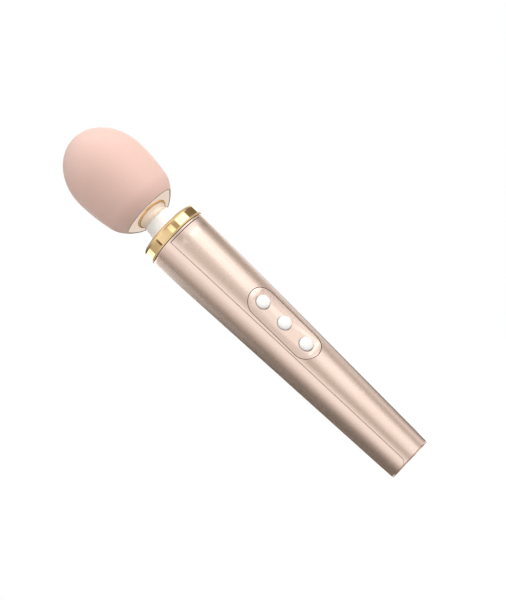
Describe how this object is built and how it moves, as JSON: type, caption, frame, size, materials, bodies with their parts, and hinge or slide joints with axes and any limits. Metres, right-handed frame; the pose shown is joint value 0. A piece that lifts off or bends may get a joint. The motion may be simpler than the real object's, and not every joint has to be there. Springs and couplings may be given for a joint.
{
  "type": "handheld wand massager",
  "caption": "Cordless hand-held massage wand: tapered metallic handle with a button pad, gold collar, flexible neck and a soft domed vibrating head.",
  "frame": {"origin": "centre of the flat bottom end of the handle", "axes": "+Z along the handle to the head, -Y towards the front panel and its buttons, +X to the right seen from the front"},
  "size_m": [0.047, 0.047, 0.254],
  "materials": {
    "rose_gold_shell": "satin metallic rose gold",
    "yellow_gold": "polished pale gold plate",
    "copper_gold": "polished rose gold plate",
    "pink_silicone": "matte soft-touch silicone",
    "white_elastomer": "matte off-white elastomer",
    "white_button": "satin white",
    "dark_plastic": "moulded, matte",
    "pale_nylon": "moulded nylon",
    "black_rubber": "moulded rubber",
    "steel": "bright steel",
    "contact_brass": "gold-plated contact",
    "magnet": "sintered ferrite",
    "copper_winding": "enamelled copper wire",
    "board_green": "solder mask",
    "chip_black": "moulded package",
    "cell_wrap": "shrink-wrapped steel can",
    "red_sleeve": "wire insulation",
    "black_sleeve": "wire insulation"
  },
  "bodies": {
    "handle": {"rear_shell": "rose_gold_shell", "front_panel": "rose_gold_shell", "button_pad": "rose_gold_shell", "end_cap": "rose_gold_shell", "collar_ring": "yellow_gold", "collar_seal": "black_rubber", "neck_clamp": "dark_plastic", "keypad_gasket": "black_rubber", "circuit_board": "board_green", "controller_chip": "chip_black", "charger_chip": "chip_black", "board_screw_upper": "steel", "board_screw_lower": "steel", "switch_up": "dark_plastic", "switch_power": "dark_plastic", "switch_down": "dark_plastic", "chassis": "dark_plastic", "battery_cell": "cell_wrap", "battery_tab_positive": "steel", "battery_tab_negative": "steel", "battery_lead_red": "red_sleeve", "battery_lead_black": "black_sleeve", "charge_contact_positive": "contact_brass", "charge_contact_negative": "contact_brass", "charge_magnet": "magnet", "charge_lead_red": "red_sleeve", "charge_lead_black": "black_sleeve", "board_lead_red": "red_sleeve", "board_lead_black": "black_sleeve", "lead_connector": "pale_nylon"},
    "neck": {"neck_sleeve": "white_elastomer", "neck_spring": "steel", "motor_lead_red": "red_sleeve", "motor_lead_black": "black_sleeve"},
    "head": {"head_cover": "pink_silicone", "head_core": "dark_plastic", "head_base": "dark_plastic", "head_trim": "copper_gold", "motor_cushion": "black_rubber", "motor_can": "steel", "motor_end_bell": "pale_nylon", "motor_magnet_left": "magnet", "motor_magnet_right": "magnet", "motor_bracket": "steel", "bracket_screw_left": "steel", "bracket_screw_right": "steel"},
    "rotor": {"motor_shaft": "steel", "motor_armature": "copper_winding", "eccentric_weight": "contact_brass"},
    "button_up": {"button_up": "white_button"},
    "button_power": {"button_power": "white_button"},
    "button_down": {"button_down": "white_button"},
    "plunger_up": {"plunger_up": "pale_nylon"},
    "plunger_power": {"plunger_power": "pale_nylon"},
    "plunger_down": {"plunger_down": "pale_nylon"}
  },
  "joints": [
    {"name": "neck_nod", "type": "hinge", "parent": "handle", "child": "neck", "pos_m": [0, 0, 0.18565], "axis": [1, 0, 0], "range_deg": [-12, 12], "stiffness_Nm_per_rad": 1.6, "deforming": ["neck_sleeve", "neck_spring", "motor_lead_red", "motor_lead_black"]},
    {"name": "neck_sway", "type": "hinge", "parent": "neck", "child": "head", "pos_m": [0, 0, 0.18565], "axis": [0, 1, 0], "range_deg": [-12, 12], "stiffness_Nm_per_rad": 1.6, "deforming": ["neck_sleeve", "neck_spring", "motor_lead_red", "motor_lead_black"]},
    {"name": "rotor_spin", "type": "hinge", "parent": "head", "child": "rotor", "pos_m": [0, 0, 0.215], "axis": [0, 0, 1], "continuous": true},
    {"name": "press_up", "type": "slide", "parent": "handle", "child": "button_up", "axis": [0, 0.9995, 0.0304], "range_m": [0, 0.0005], "stiffness_N_per_m": 1500},
    {"name": "press_power", "type": "slide", "parent": "handle", "child": "button_power", "axis": [0, 0.9995, 0.0304], "range_m": [0, 0.0005], "stiffness_N_per_m": 1500},
    {"name": "press_down", "type": "slide", "parent": "handle", "child": "button_down", "axis": [0, 0.9995, 0.0304], "range_m": [0, 0.0005], "stiffness_N_per_m": 1500},
    {"name": "plunge_up", "type": "slide", "parent": "handle", "child": "plunger_up", "axis": [0, 0.9995, 0.0304], "range_m": [0, 0.0005]},
    {"name": "plunge_power", "type": "slide", "parent": "handle", "child": "plunger_power", "axis": [0, 0.9995, 0.0304], "range_m": [0, 0.0005]},
    {"name": "plunge_down", "type": "slide", "parent": "handle", "child": "plunger_down", "axis": [0, 0.9995, 0.0304], "range_m": [0, 0.0005]}
  ],
  "couplings": [
    {"joint": "plunge_up", "follows": "press_up", "ratio": 1},
    {"joint": "plunge_power", "follows": "press_power", "ratio": 1},
    {"joint": "plunge_down", "follows": "press_down", "ratio": 1}
  ]
}
